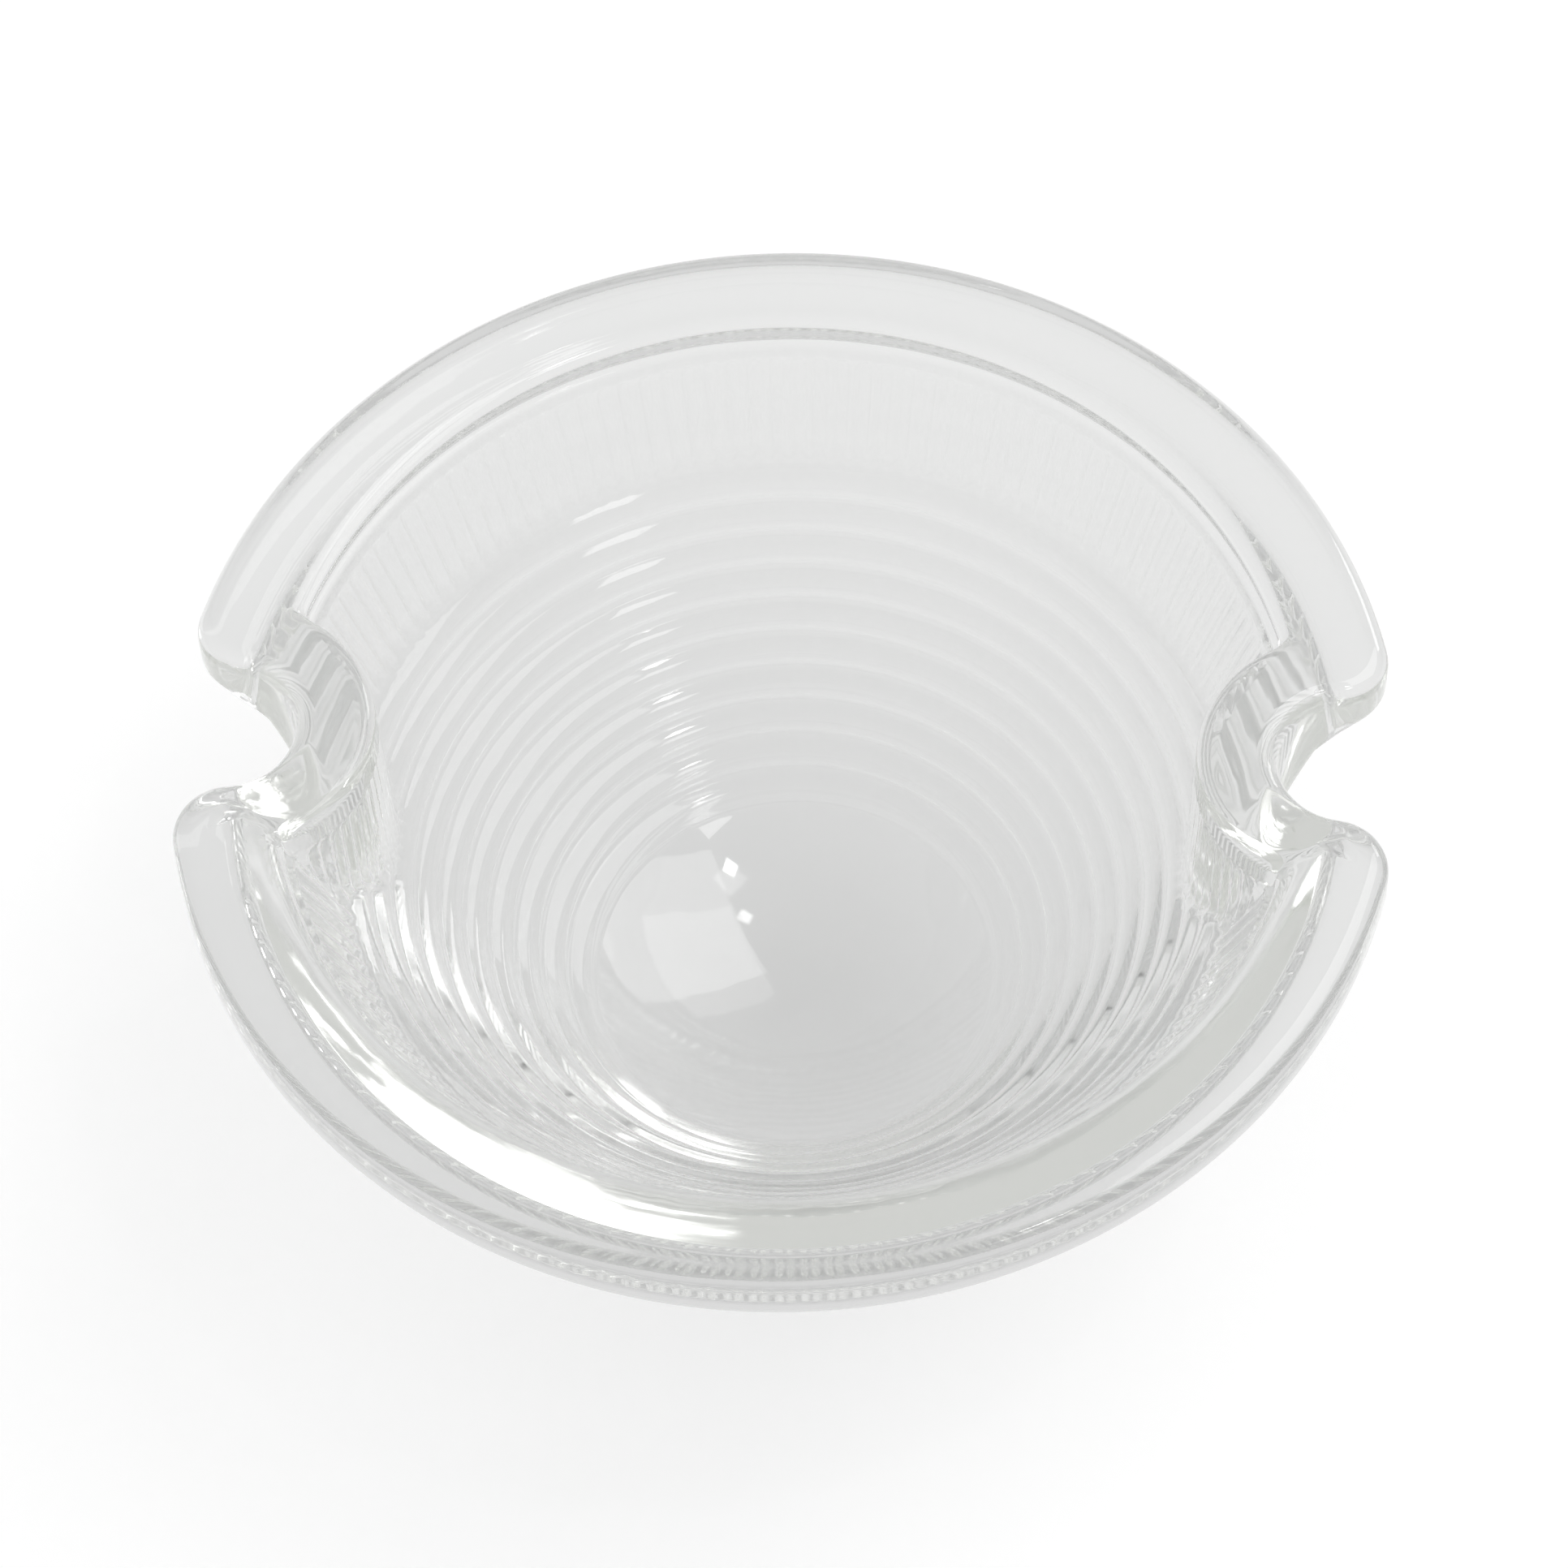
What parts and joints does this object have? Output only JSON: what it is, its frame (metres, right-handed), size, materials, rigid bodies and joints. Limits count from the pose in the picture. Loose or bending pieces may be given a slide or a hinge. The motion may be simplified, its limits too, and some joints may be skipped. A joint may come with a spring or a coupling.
{
  "type": "glass lamp lens",
  "caption": "Clear pressed-glass lamp lens: round ribbed and fluted bowl with a flat mounting flange and open screw notches on opposite sides.",
  "frame": {"origin": "centre of the lens at the lowest point of its domed outside, where it rests", "axes": "+Z out of the open mouth, square to the gasket face; X through the two screw notches; Y across the uncut diameter"},
  "size_m": [0.084, 0.086, 0.0398],
  "materials": {
    "clear_glass": "fire-polished clear pressed glass with a faint green-grey body tint"
  },
  "bodies": {
    "root": {"lens": "clear_glass"}
  },
  "joints": []
}
